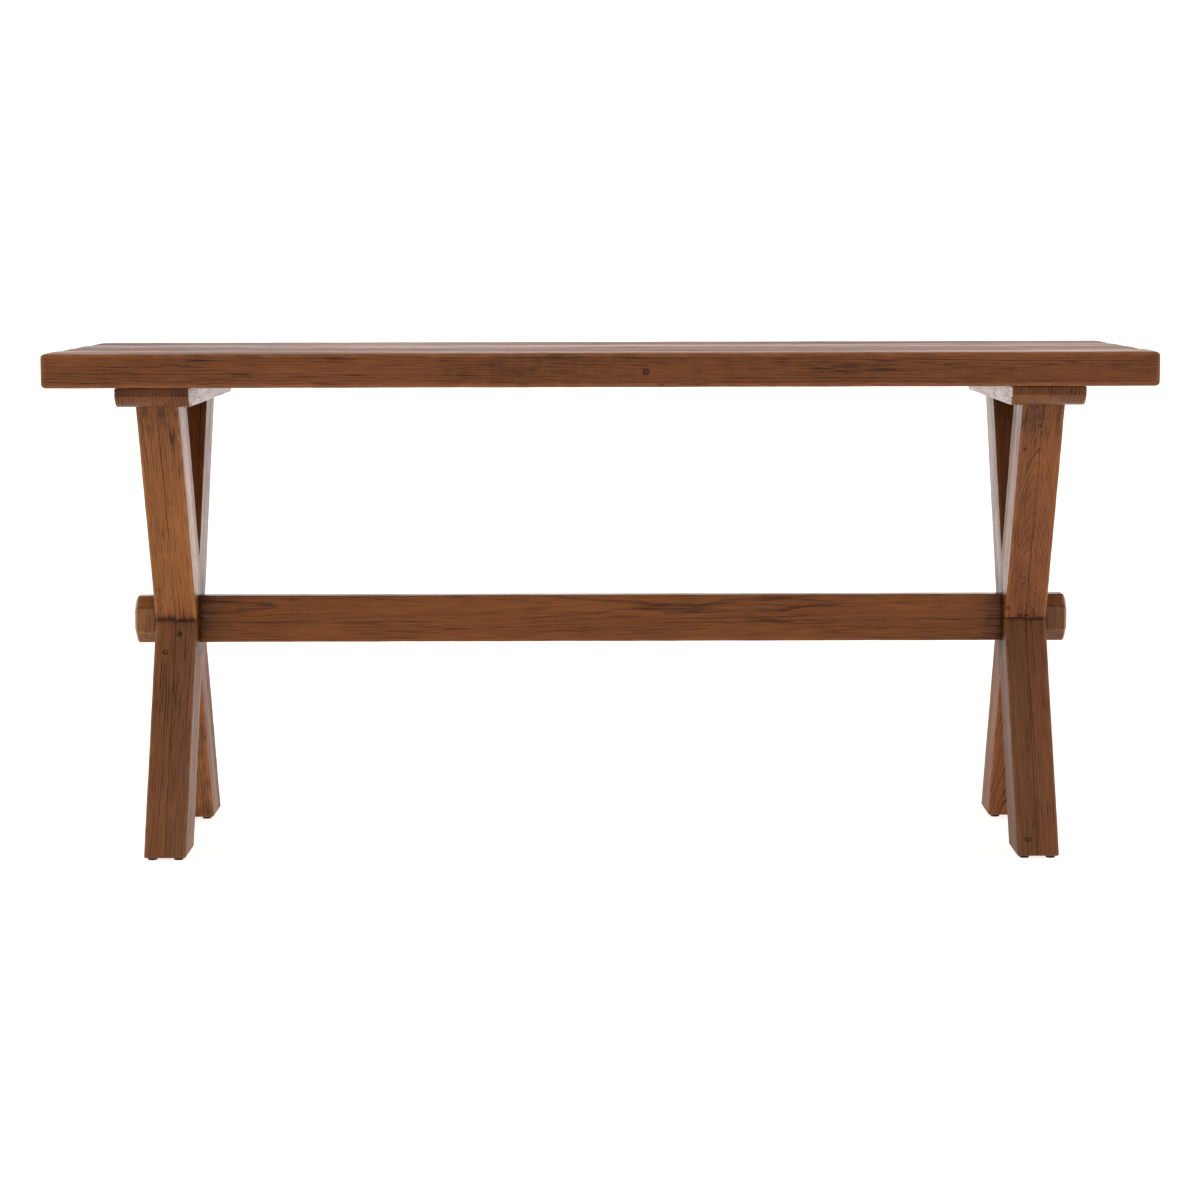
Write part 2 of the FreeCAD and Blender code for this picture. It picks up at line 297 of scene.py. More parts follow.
class Board:
    """A board by the four corners of its lower face and its thickness, with eased and worn edges."""

    def __init__(self, corners, through, radii, eases, seed, rise=None):
        self.start_low, self.start_high, self.end_low, self.end_high = map(np.array, corners)
        through = np.array(through, dtype=float)
        self.thickness = float(np.linalg.norm(through))
        self.through = through / self.thickness
        run = self.end_low - self.start_low
        self.along = run / np.linalg.norm(run)
        self.across = np.cross(self.through, self.along)
        self.width = float(np.dot(self.start_high - self.start_low, self.across))
        middle_run = (self.end_low + self.end_high - self.start_low - self.start_high) / 2
        self.length = float(np.linalg.norm(middle_run))
        self.radii = radii
        self.eases = eases
        self.rng = np.random.default_rng(seed)
        self.rise = rise
        self.joints = ()
        self.grain_start = self.start_low
        self.crown = 0.0
        self.seams = {}
        self.butted = {}
        self.end_shares = (1.0,) * 4
        self.neighbours = ()

    def soak_seams(self, radius, darkening):
        """Lets stain gather at the corners with this radius."""
        self.seams = {corner: darkening for corner, own in enumerate(self.radii) if own == radius}

    def local(self, points):
        """Along, across and through the board, from where its grain starts."""
        axes = np.stack([self.along, self.across, self.through], axis=1)
        return (np.asarray(points, dtype=float) - self.grain_start) @ axes

    def stations(self):
        """The rings' places along the board, how far the eased ends draw each in, and its rim's wear and
        painted highlight.
        """
        turns = np.linspace(0, math.pi / 2, EASE_STEPS + 1)
        start = self.eases[0] * (1 - np.cos(turns))
        end = self.length - self.eases[1] * (1 - np.cos(turns[::-1]))
        count = int(self.length / RING_STEP)
        between = np.linspace(start[-1] + SUPPORT, end[0] - SUPPORT, count)
        places = np.concatenate([start, between, end])
        drawn_in = 1 - np.sin(turns)
        rim = 4 * drawn_in * (1 - drawn_in)
        shows = [float(ease > LEAST_WORN_EASE) for ease in self.eases]
        middle = np.zeros(count)
        inset = np.concatenate([self.eases[0] * drawn_in, middle, self.eases[1] * drawn_in[::-1]])
        return places, inset, np.concatenate([shows[0] * rim, middle, shows[1] * rim[::-1]])

    def worn_radius(self, places, inset, corner):
        """One arris along the board: an eased one wavers and has knocks, one in a glue line doesn't."""
        radius = self.radii[corner]
        worn = np.full_like(places, radius)
        if radius > GLUE_LINE_ARRIS:
            wave = wander(self.rng, places, ARRIS_WAVE_LENGTH, ARRIS_WAVE_SHARE)
            worn = radius * (ARRIS_LEAST_SHARE + wave) + nicks(self.rng, places, self.length)
        if corner in self.butted:
            start, end = self.butted[corner]
            inside = np.minimum(places - start, end - places)
            worn += (GLUE_LINE_ARRIS - worn) * np.clip(inside / BUTT_FADE + 0.5, 0, 1)
        return np.maximum(worn - inset, LEAST_RADIUS)

    def mesh(self, name):
        """The board's skin, with its edges' wear and painted highlights, and the stain and painted shade
        it holds.
        """
        places, inset, rim_wear_and_highlight = self.stations()
        waves = [wander(self.rng, places, FACE_WAVE_LENGTH, FACE_WAVE) for _ in range(4)]
        corners = [self.worn_radius(places, inset, corner) for corner in range(4)]
        rise = 0 if self.rise is None else self.rise(places, self.length)
        sides = [inset * share + wave for share, wave in zip(self.end_shares, waves)]
        across, through, at_corner = rounded_section(
            sides[0], self.width - sides[1], sides[2] + rise, self.thickness - sides[3], corners)
        through = through - self.crown * (2 * across / self.width - 1) ** 2 * through / self.thickness
        part = (places / self.length)[:, None, None]
        base = self.start_low + (self.end_low - self.start_low) * part
        span = (self.start_high - self.start_low) * (1 - part) + (self.end_high - self.end_low) * part
        rings = base + span * (across / self.width)[..., None] + self.through * through[..., None]
        points, faces = loft(with_caps(rings))
        mesh = smooth_mesh(name, points, faces)
        wear = np.stack([self.wear(corner, corners, rim_wear_and_highlight) for corner in at_corner], axis=1)
        store(mesh, "edge_wear_and_highlight", with_cap_values(wear, 0.0))
        store(mesh, "stain_and_painted_shade", self.darkening(points, places, at_corner))
        return mesh

    def wear(self, corner, radii, rim_wear_and_highlight):
        """How far a line of points is rubbed, with a painted highlight on an eased end's rim: on an
        arris, not on a side or in a seam.
        """
        if corner < 0 or corner in self.seams:
            return rim_wear_and_highlight
        return np.maximum(rim_wear_and_highlight, np.clip(radii[corner] / WORN_RADIUS - 0.5, 0, 1))

    def darkening(self, points, places, at_corner):
        """How much each point darkens: stain at joints, seams and end grain, and near neighbouring pieces
        painted shade and some stain.
        """
        at_joints = np.zeros_like(places)
        for joint, reach in self.joints:
            at_joints = np.maximum(at_joints, np.exp(-((places - joint) / reach) ** 2))
        lines = [np.maximum(at_joints, self.seams.get(corner, 0.0)) for corner in at_corner]
        darkening = with_cap_values(np.stack(lines, axis=1), END_GRAIN_SOAK)
        for box, reach, strength in self.neighbours:
            darkening = np.maximum(darkening, strength * nearness(points, box, reach))
        return darkening

    def make(self, name, material, slot, node, pockets=()):
        """Builds the board as a piece in place of its CAD node."""
        piece = place_piece(name, self.mesh(name), material, node)
        for low, high in pockets:
            cut_pocket(piece, low, high)
        store(piece.data, "grain_place", self.local(points_of(piece.data)))


def cut_pocket(piece, low, high):
    """Cuts a square-cornered pocket out of a piece."""
    size = Vector(high) - Vector(low)
    middle = (Vector(high) + Vector(low)) / 2
    shell = bmesh.new()
    bmesh.ops.create_cube(shell, size=1, matrix=Matrix.Translation(middle) @ Matrix.Diagonal((*size, 1)))
    mesh = bpy.data.meshes.new("pocket")
    shell.to_mesh(mesh)
    shell.free()
    cutter = add_object("pocket", mesh)
    change = piece.modifiers.new("pocket", "BOOLEAN")
    change.object = cutter
    change.operation = "DIFFERENCE"
    change.solver = "EXACT"
    graph = bpy.context.evaluated_depsgraph_get()
    cut = bpy.data.meshes.new_from_object(piece.evaluated_get(graph))
    piece.modifiers.clear()
    piece.data = cut
    bpy.data.objects.remove(cutter)


class Graph:
    """Short ways to add and join shader nodes."""

    def __init__(self, tree):
        self.nodes = tree.nodes
        self.links = tree.links

    def feed(self, socket, value):
        if isinstance(value, bpy.types.NodeSocket):
            self.links.new(value, socket)
        else:
            socket.default_value = value

    def add(self, kind, inputs, **settings):
        node = self.nodes.new(f"ShaderNode{kind}")
        for key, value in settings.items():
            setattr(node, key, value)
        for key, value in inputs.items():
            self.feed(node.inputs[key], value)
        return node

    def math(self, operation, *values):
        return self.add("Math", dict(enumerate(values)), operation=operation).outputs[0]

    def times(self, first, second):
        return self.math("MULTIPLY", first, second)

    def less(self, first, second):
        return self.math("SUBTRACT", first, second)

    def total(self, start, *terms):
        """start plus each value times its weight."""
        total = start
        for value, weight in terms:
            total = self.math("MULTIPLY_ADD", value, weight, total)
        return total

    def split(self, vector):
        return self.add("SeparateXYZ", {"Vector": vector}).outputs

    def mapped(self, place, scale, shift):
        inputs = {"Vector": place, "Scale": scale, "Location": shift}
        return self.add("Mapping", inputs).outputs[0]

    def length(self, vector):
        return self.add("VectorMath", {0: vector}, operation="LENGTH").outputs["Value"]

    def rise(self, value, low, high):
        """0 below low and 1 above high, with a smooth step between."""
        inputs = {"Value": value, "From Min": low, "From Max": high}
        return self.add("MapRange", inputs, interpolation_type="SMOOTHSTEP").outputs["Result"]

    def fall(self, value, low, high):
        """1 below low and 0 above high, with a smooth step between."""
        return self.less(1.0, self.rise(value, low, high))


class Shader(Graph):
    """The nodes of one material, with chance fields that follow from a seed."""

    def __init__(self, name, seed=0):
        self.material = bpy.data.materials.new(name)
        self.material.use_nodes = True
        super().__init__(self.material.node_tree)
        self.surface = self.nodes["Principled BSDF"]
        self.rng = np.random.default_rng(seed)

    def read_places(self, own_places):
        if own_places:
            self.place = self.attribute("grain_place").outputs["Vector"]
        else:
            self.place = self.add("TexCoord", {}).outputs["Object"]

    def attribute(self, name):
        return self.add("Attribute", {}, attribute_name=name)

    def noise(self, scale, detail=2.0, roughness=0.5):
        """Noise with its own scale along, across and through, as waves in a metre."""
        vector = self.mapped(self.place, scale, tuple(self.rng.uniform(-NOISE_SHIFT, NOISE_SHIFT, 3)))
        inputs = {"Vector": vector, "Scale": 1.0, "Detail": detail, "Roughness": roughness}
        return self.add("TexNoise", inputs).outputs["Fac"]

    def swing(self, *scale, **settings):
        """Noise about 0."""
        return self.less(self.noise(scale, **settings), 0.5)

    def ramp(self, value, stops):
        node = self.add("ValToRGB", {"Fac": value})
        elements = node.color_ramp.elements
        while len(elements) < len(stops):
            elements.new(0.5)
        for element, (position, colour) in zip(elements, stops):
            element.position = position
            element.color = (*colour, 1)
        return node.outputs["Color"]

    def bump(self, height, distance, strength):
        inputs = {"Height": height, "Distance": distance, "Strength": strength}
        return self.add("Bump", inputs).outputs["Normal"]

    def finish(self, **inputs):
        for key, value in inputs.items():
            self.feed(self.surface.inputs[key.replace("_", " ")], value)
        return self.material


# Stains: a board's middle tone in linear colour, and what its dark, light, and rubbed and highlit tones
# take of it
STAINS = {
    "top": (0.14, 0.0448, 0.011),
    "cleat": (0.125, 0.0375, 0.0073),
    "olive": (0.132, 0.044, 0.0088),
    "golden": (0.23, 0.0824, 0.0184),
    "tan": (0.179, 0.0582, 0.0133),
    "brown": (0.17, 0.0639, 0.0208),
    "loam": (0.1465, 0.0578, 0.0229),
    "umber": (0.147, 0.0525, 0.0177),
    "peat": (0.1205, 0.0457, 0.0154),
    # dark is painted shade: the stain of leg b's upper boards, in the shade of the top
    "dark": (0.12, 0.0412, 0.0114),
    "red": (0.158, 0.048, 0.0076),
    "block": (0.225, 0.0906, 0.026),
    "bare": (0.48, 0.32, 0.18),
}
DARK_SHARE = (0.22, 0.19, 0.2)
LIGHT_SHARE = (1.4, 1.5, 1.65)
RUBBED_AND_HIGHLIGHT_SHARE = (1.8, 2.1, 2.6)

# A board's tone before its fields change it, and the places of its dark, middle and light tones
BASE_TONE = 0.64
TONE_STOPS = (0.06, 0.56, 1.0)

# What knots and the fullest darkening (stain, and painted shade beside the stretcher) take off the tone;
# the power keeps that darkening to the joints
KNOT_RIM_TONE = -0.55
KNOT_CORE_TONE = -0.26
DEEPEST_DARKENING_TONE = -0.25
DEEPEST_DARKENING_POWER = 8.0

# How far rings bend and ripple, how deep the relief is, and where on a leg its foot's dullness ends
RING_BEND = 0.018
RING_RIPPLE = 0.0025
RELIEF_DEPTH = 0.0006
RELIEF_STRENGTH = 0.75
DULL_FOOT_END = (0.4, 0.6)
WOOD_SHINE = 0.2


def tone_of(stain, share):
    """A darker or lighter tone of a stain."""
    return tuple(channel * part for channel, part in zip(STAINS[stain], share))


class Wood(Shader):
    """Stained softwood: growth rings about the tree's heart, knots, streaks, rubbed edges and lacquer."""

    def __init__(self, name, seed, spacing=0.006, heart=None, slope=0.01, own_places=True):
        super().__init__(name, seed)
        self.read_places(own_places)
        angle = self.rng.uniform(0, 2 * math.pi)
        self.heart = heart or (0.06 + 0.11 * math.cos(angle), 0.03 + 0.09 * math.sin(angle))
        self.spacing = spacing
        self.slope = slope
        self.ripple = self.noise((9, 60, 60))
        self.gnarl = self.noise((150, 150, 150))
        self.along = self.split(self.place)["X"]
        self.knot_tones = []

    def rings(self, knots):
        """The number of years from the heart, bent by slow noise and round the knots."""
        bend = self.noise((2.2, 11, 11), detail=2.5)
        from_heart = self.length(self.mapped(self.place, (0, 1, 1), (0, -self.heart[0], -self.heart[1])))
        years = self.total(
            0.0, (from_heart, 1 / self.spacing), (bend, RING_BEND / self.spacing),
            (self.ripple, RING_RIPPLE / self.spacing), (self.along, self.slope / self.spacing))
        for middle, radius, swelling, is_open in knots:
            scale = (1.05 / radius, 0, 1 / radius)
            back = tuple(-coordinate * factor for coordinate, factor in zip(middle, scale))
            reach = self.length(self.mapped(self.place, scale, back))
            reach = self.total(-0.95, (reach, 1.0), (self.ripple, 0.9), (self.gnarl, 1.0))
            swell = self.math("DIVIDE", 1.0, self.total(1.0, (self.times(reach, reach), 0.35)))
            years = self.total(years, (swell, swelling))
            if is_open:
                core = self.fall(reach, 0.35, 0.7)
                rim = self.times(self.rise(reach, 0.35, 0.7), self.fall(reach, 1.0, 1.4))
                self.knot_tones += [(rim, KNOT_RIM_TONE), (core, KNOT_CORE_TONE)]
        return years

    def late_wood(self, knots):
        """The thin dark lines of the years, some stronger than others, and broken along the grain."""
        years = self.rings(knots)
        part = self.math("FRACT", years)
        line = self.times(self.rise(part, 0.5, 0.9), self.fall(part, 0.93, 1.0))
        year = self.math("FLOOR", years)
        chance = self.add("TexWhiteNoise", {"W": year}, noise_dimensions="1D").outputs["Value"]
        strength = self.total(0.25, (chance, 0.75))
        broken = self.total(0.35, (self.rise(self.noise((4, 45, 45)), 0.4, 0.62), 0.65))
        return self.times(line, self.times(strength, broken))

    def dashes(self, dash_length):
        """Thin dark dashes along the grain, in clusters."""
        field = self.noise((1 / dash_length, 380, 380), detail=1.5, roughness=0.55)
        zone = self.rise(self.noise((6, 26, 26)), 0.47, 0.62)
        return self.times(self.rise(field, 0.575, 0.655), self.total(0.15, (zone, 0.85)))

    def veins(self):
        """Long thin dark lines that wander along the grain."""
        field = self.swing(1.2, 24, 24, detail=4.0, roughness=0.6)
        thin = self.fall(self.math("ABSOLUTE", field), 0.001, 0.006)
        return self.times(thin, self.rise(self.noise((3.2, 21, 21)), 0.46, 0.6))

    def cracks(self, length):
        """Drying cracks near both ends."""
        field = self.swing(1.3, 45, 45, detail=1.0)
        thin = self.fall(self.math("ABSOLUTE", field), 0.001, 0.004)
        near_ends = self.math("ADD", self.fall(self.along, 0.02, 0.13),
                              self.rise(self.along, length - 0.13, length - 0.02))
        return self.times(thin, near_ends)

    def stained_and_shaded(self):
        """Darker stain in joints, seams and end grain, and painted shade near other pieces, with an
        uneven limit.
        """
        near = self.attribute("stain_and_painted_shade").outputs["Fac"]
        field = self.total(0.0, (near, 1.0), (self.noise((46, 60, 60), detail=3.0), 0.7))
        return self.rise(field, 0.5, 1.35)

    def rubbed(self, rubbing_and_highlight):
        """Lighter arrises, where use has rubbed the stain off here and there, with painted highlights on
        the top's arrises, eased ends' rims and an end block's lower corners.
        """
        rub = self.rise(self.noise((30, 120, 120), detail=3.0), 0.4, 0.62)
        return self.times(self.attribute("edge_wear_and_highlight").outputs["Fac"], self.total(rubbing_and_highlight, (rub, 0.35)))

    def finish_wood(self, stain, knots=(), lines=0.42, dashes=0.34, dash_length=0.055, veins=0.36,
                    mottle=0.5, length=1.0, gloss=0.24, uneven=0.6, relief=1.0, rubbing_and_highlight=0.1, ridges=0.25,
                    waves=0.8, streaks=0.75, foot_dullness=0.0, speckle=1.0):
        """Joins the fields into colour, roughness and relief."""
        late = self.late_wood(knots)
        dash = self.dashes(dash_length)
        vein = self.veins()
        crack = self.cracks(length)
        darkening = self.stained_and_shaded()
        deepest_darkening = self.math("POWER", darkening, DEEPEST_DARKENING_POWER)
        # worn holds the rubbed arrises together with the painted highlights
        worn = self.rubbed(rubbing_and_highlight)
        fibre = self.swing(26, 800, 800)
        brush = self.swing(13, 300, 300, detail=3.0, roughness=0.65)
        streak = self.swing(0.9, 12, 12, detail=4.0, roughness=0.6)
        patch = self.swing(3.1, 13, 13)
        cloud = self.swing(24, 30, 30, detail=3.0)
        saw = self.swing(230, 6, 6, detail=1.0)

        tone = self.total(
            BASE_TONE, (late, -lines), (dash, -dashes), (vein, -veins), (crack, -0.3), (darkening, -0.36),
            (deepest_darkening, DEEPEST_DARKENING_TONE), (brush, 1.1 * speckle), (fibre, 0.4 * speckle),
            (streak, streaks), (patch, mottle), (cloud, 0.22), (saw, 0.12), *self.knot_tones)
        tones = (tone_of(stain, DARK_SHARE), STAINS[stain], tone_of(stain, LIGHT_SHARE))
        stained = self.ramp(tone, list(zip(TONE_STOPS, tones)))
        rubbed = {0: worn, 6: stained, 7: (*tone_of(stain, RUBBED_AND_HIGHLIGHT_SHARE), 1)}
        colour = self.add("Mix", rubbed, data_type="RGBA").outputs[2]

        height = self.total(
            0.5, (late, ridges), (fibre, 0.35 * speckle), (brush, 0.6 * speckle), (dash, -0.6),
            (vein, -0.7), (crack, -1.6), (streak, 1.2), (cloud, waves), (saw, 0.2))
        rough = self.total(
            gloss, (dash, 0.14), (vein, 0.14), (cloud, 0.15), (brush, 0.5 * uneven), (streak, -uneven))
        if foot_dullness:
            dull_foot = self.fall(self.along, *(share * length for share in DULL_FOOT_END))
            rough = self.total(rough, (dull_foot, foot_dullness))
        return self.finish(Base_Color=colour, Roughness=rough, Specular_IOR_Level=WOOD_SHINE,
                           Normal=self.bump(height, RELIEF_DEPTH * relief, RELIEF_STRENGTH))


# How far each plank's lacquer has dulled
PLANK_DULLNESS = {"front": 0.38, "mid_front": 0.45, "mid_rear": 0.33, "rear": 0.41}
PLANK_HEART = (0.03, -0.2)

# Knots that show in the front edge of the top: a point on each and its radius
TOP_EDGE_KNOTS = (((0.0925, -0.4065, 1.0273), 0.006),)
KNOT_SWELLING = 2.2

# Where the stain of the front plank is darker
TOP_DARK_STRETCH = ((-0.25, -math.inf, 0), (0.2, math.inf, math.inf))
TOP_DARK_REACH = 0.2
TOP_DARK_SOAK = 0.42


def edge_knots(board, knots):
    """Open knots across a board, for its wood, from points in the frame and radii."""
    return tuple((tuple(board.local(point)), radius, KNOT_SWELLING, True) for point, radius in knots)


def plank_boards():
    """The four planks of the top, side by side."""
    for number, name in enumerate(PLANK_NAMES):
        node = f"top_plank_{name}"
        low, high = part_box(node)
        front = TOP_ARRIS if name == "front" else SEAM_ARRIS
        rear = TOP_ARRIS if name == "rear" else SEAM_ARRIS
        corners = [(x, y, low.z) for x in (low.x, high.x) for y in (low.y, high.y)]
        board = Board(corners, (0, 0, high.z - low.z), (front, rear, rear, front),
                      (TOP_END_EASE, TOP_END_EASE), seed=SHAPE_SEEDS["plank"] + number)
        board.crown = TOP_CROWN
        board.soak_seams(SEAM_ARRIS, SEAM_SOAK)
        edge_shares = [SEAM_END_SHARE if arris == SEAM_ARRIS else 1.0 for arris in (front, rear)]
        board.end_shares = (*edge_shares, 1.0, 1.0)
        look = Wood(f"{node}_wood", LOOK_SEEDS["plank"] + number, spacing=0.0065, heart=PLANK_HEART)
        knots = ()
        if name == "front":
            knots = edge_knots(board, TOP_EDGE_KNOTS)
            board.neighbours = ((TOP_DARK_STRETCH, TOP_DARK_REACH, TOP_DARK_SOAK),)
        # The planks' outer arrises are lightened more than other boards': wear, and a painted highlight
        # along the top's front arris
        material = look.finish_wood(
            "top", knots, lines=0.56, dashes=0.42, dash_length=0.11, streaks=1.2, length=board.length,
            relief=1.5, gloss=PLANK_DULLNESS[name], uneven=0.9, rubbing_and_highlight=0.25)
        board.make(f"{node}_board", material, "top_wood", node)


def cleat_rise(places, length):
    """How far a cleat's underside rises towards its chamfered ends."""
    from_end = np.minimum(places, length - places)
    return CLEAT_CHAMFER_HEIGHT * np.clip(1 - from_end / CLEAT_CHAMFER_LENGTH, 0, 1)


def leg_sides(side):
    """The left and the right side of one trestle's legs, along X."""
    boxes = [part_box(f"{side}_leg_{leg}_long_board") for leg in "ab"]
    return min(box[0].x for box in boxes), max(box[1].x for box in boxes)


def screw_pockets(side):
    """Slotted pockets in a cleat's underside, one for each plank, by turns right and left of the leg."""
    low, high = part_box(f"{side}_cleat")
    leg_left, leg_right = leg_sides(side)
    flanges = ((leg_right + high.x) / 2, (low.x + leg_left) / 2)
    half = Vector(SCREW_POCKET) / 2
    pockets = []
    for number, name in enumerate(PLANK_NAMES):
        plank_low, plank_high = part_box(f"top_plank_{name}")
        x = flanges[number % 2]
        y = (plank_low.y + plank_high.y) / 2
        mouth = (x - half.x, y - half.y, low.z - POCKET_MOUTH)
        bottom = (x + half.x, y + half.y, low.z + SCREW_POCKET[2])
        pockets.append((mouth, bottom))
    return pockets


# The cleats' heart is far to one side, so that their ends show upright lines
CLEAT_HEART = (-0.22, 0.01)
CLEAT_STAINS = {"left": "cleat", "right": "olive"}


def cleats():
    """The two cleats under the top."""
    for number, side in enumerate(SIDES):
        node = f"{side}_cleat"
        low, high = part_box(node)
        corners = [(x, y, low.z) for y in (low.y, high.y) for x in (high.x, low.x)]
        board = Board(corners, (0, 0, high.z - low.z), (CLEAT_ARRIS,) * 4,
                      (CLEAT_ARRIS, CLEAT_ARRIS), SHAPE_SEEDS["cleat"] + number, rise=cleat_rise)
        look = Wood(f"{node}_wood", LOOK_SEEDS["cleat"] + number, spacing=0.008, heart=CLEAT_HEART)
        material = look.finish_wood(CLEAT_STAINS[side], lines=0.62, length=board.length, relief=1.3,
                                    ridges=1.5, waves=0.2, speckle=0.4)
        board.make(f"{node}_board", material, "cleat_wood", node, screw_pockets(side))


# How each leg looks; leg a's stain is lighter than leg b's, partly painted light: leg a's front faces
# down towards the bright floor, leg b's faces up under the top
LEG_LOOKS = {
    ("left", "a"): {"stain": "golden", "lines": 0.36, "dashes": 0.42, "veins": 0.25},
    ("left", "b"): {"stain": "brown", "lines": 0.66},
    ("right", "a"): {"stain": "tan", "lines": 0.56, "dashes": 0.28},
    ("right", "b"): {"stain": "umber", "lines": 0.7, "dashes": 0.28},
}

# Boards that differ from the rest of their leg; the dark stain of leg b's upper boards is painted shade
# under the top
BOARD_LOOKS = {
    ("left", "b", "long"): {"dashes": 0.18},
    ("left", "b", "lower"): {"stain": "loam"},
    ("left", "b", "upper"): {"stain": "dark"},
    ("right", "b", "long"): {"stain": "peat", "lines": 0.4, "dashes": 0.2},
    ("right", "b", "lower"): {"lines": 0.8},
    ("right", "b", "upper"): {"stain": "dark"},
}

# How each leg was cut from the tree: far from its heart for straight lines, near it for arches
LEG_GRAINS = {
    ("left", "a"): {"heart": (0.06, -0.14), "spacing": 0.006},
    ("left", "b"): {"heart": (0.01, 0.2), "spacing": 0.005},
    ("right", "a"): {"heart": (0.098, 0.045), "spacing": 0.005, "slope": 0.15},
    ("right", "b"): {"heart": (0.01, -0.14), "spacing": 0.0053},
}

# Knots that show in the front of the legs: a point on each and its radius
LEG_KNOTS = {
    ("left", "b"): (((-0.937, -0.1, 0.413), 0.005), ((-0.91, -0.083, 0.452), 0.005)),
    ("right", "a"): (
        ((0.8785, -0.078, 0.506), 0.004), ((0.9064, -0.075, 0.4865), 0.0035),
        ((0.9193, -0.075, 0.4865), 0.0035), ((0.886, -0.27, 0.856), 0.0035)),
    ("right", "b"): (((0.898, -0.3, 0.0386), 0.0055),),
}

# Grain that arches in a leg's front: the place, its radius and how many years it swells by
LEG_ARCHES = {("right", "a"): ((0.905, -0.075, 0.5), 0.05, -5.0)}

# How far stain gathers from the joint in the middle of each leg
LEG_JOINT_REACHES = {"left": {"a": 0.014, "b": 0.005}, "right": {"a": 0.004, "b": 0.005}}


class Trestle:
    """The outlines of one trestle's legs, seen from the side as (y, z); leg b is leg a in a mirror."""

    def __init__(self, side):
        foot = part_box("glides")[1].z
        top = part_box(f"{side}_cleat")[0].z
        spread = -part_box(f"{side}_leg_a_long_board")[0].y
        self.height = top - foot
        diagonal = math.hypot(2 * spread, self.height)
        lean = math.acos(LEG_DEPTH / diagonal) - math.atan2(self.height, 2 * spread)
        cut = LEG_DEPTH / math.cos(lean)
        inner = spread - cut
        crossing = (top + foot) / 2
        notch = cut / 2
        self.notch_rise = notch * self.height / (spread + inner)
        under_joint = crossing - self.notch_rise
        # A box round the rear feet, near which the legs get painted shade
        self.rear_feet = ((-math.inf, LEG_DEPTH / 2, 0), (math.inf, spread, under_joint))
        feet = ((spread, foot), (inner, foot))
        tops = ((-inner, top), (-spread, top))
        leg_a = {
            "long": (*feet, *tops),
            "lower": (*feet, (notch, crossing), (0, under_joint)),
            "upper": ((0, crossing + self.notch_rise), (-notch, crossing), *tops),
        }
        self.outlines = {("a", part): outline for part, outline in leg_a.items()}
        for part, outline in leg_a.items():
            first, second, third, fourth = [(-y, z) for y, z in outline]
            self.outlines["b", part] = (second, first, fourth, third)

    def butted_stretches(self, leg, length):
        """Where the other leg's short boards meet a long board: its corners, and from where to where."""
        crossing = length / 2
        reach = self.notch_rise * length / self.height
        lower = (crossing - reach, crossing)
        upper = (crossing, crossing + reach)
        return {2: lower, 3: upper} if leg == "a" else {0: lower, 1: upper}


def leg_board(trestle, side, leg, part, seed):
    """One board of a leg, with eased arrises outside and a glue line inside."""
    low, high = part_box(f"{side}_leg_{leg}_{part}_board")
    corners = [(low.x, *point) for point in trestle.outlines[leg, part]]
    order = 1 if (part == "long") == (leg == "b") else -1
    radii = (LEG_ARRIS, LEG_ARRIS, GLUE_LINE_ARRIS, GLUE_LINE_ARRIS)[::order]
    end_shares = (1.0, GLUE_LINE_END_SHARE)[::order]
    eases = (BUTT_EASE if part == "upper" else FOOT_EASE, BUTT_EASE)
    board = Board(corners, (high.x - low.x, 0, 0), radii, eases, seed)
    joint = {"long": board.length / 2, "lower": board.length, "upper": 0.0}[part]
    board.joints = ((joint, LEG_JOINT_REACHES[side][leg]),)
    board.soak_seams(GLUE_LINE_ARRIS, GLUE_LINE_SOAK)
    board.end_shares = (1.0, 1.0, *end_shares)
    if part == "long":
        board.butted = trestle.butted_stretches(leg, board.length)
    return board


def leg_boards():
    """The glued-up legs: a long board in one half, an upper and a lower one in the other."""
    for number, side in enumerate(SIDES):
        trestle = Trestle(side)
        left = leg_sides(side)[0]
        # Stain and painted shade beside the stretcher, darker round the end block, and painted shade by
        # the rear feet
        around = ((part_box("stretcher"), STRETCHER_REACH, STRETCHER_STAIN_AND_PAINTED_SHADE[side]),
                  (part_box(f"{side}_end_block"), END_BLOCK_REACH, END_BLOCK_DARKENING),
                  (trestle.rear_feet, REAR_FOOT_REACH, REAR_FOOT_PAINTED_SHADES[side]))
        for leg, part in trestle.outlines:
            seed = SHAPE_SEEDS["leg"] + 20 * number + 10 * (leg == "b") + LEG_PARTS.index(part)
            board = leg_board(trestle, side, leg, part, seed)
            board.grain_start = np.array((left, *trestle.outlines[leg, "long"][0]))
            if part == "long":
                leg_length = board.length
            # Painted shade under the cleat, less on the upper board of leg b, whose stain already paints
            # the shade of the top
            in_shade = (leg, part) == ("b", "upper")
            cleat_painted_shade = SHADED_BOARD_CLEAT_PAINTED_SHADE if in_shade else CLEAT_PAINTED_SHADES[side]
            board.neighbours = (*around, (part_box(f"{side}_cleat"), CLEAT_REACH, cleat_painted_shade))
            material = leg_look(side, leg, part, board, leg_length)
            node = f"{side}_leg_{leg}_{part}_board"
            board.make(node.replace("_board", "_timber"), material, "leg_wood", node)


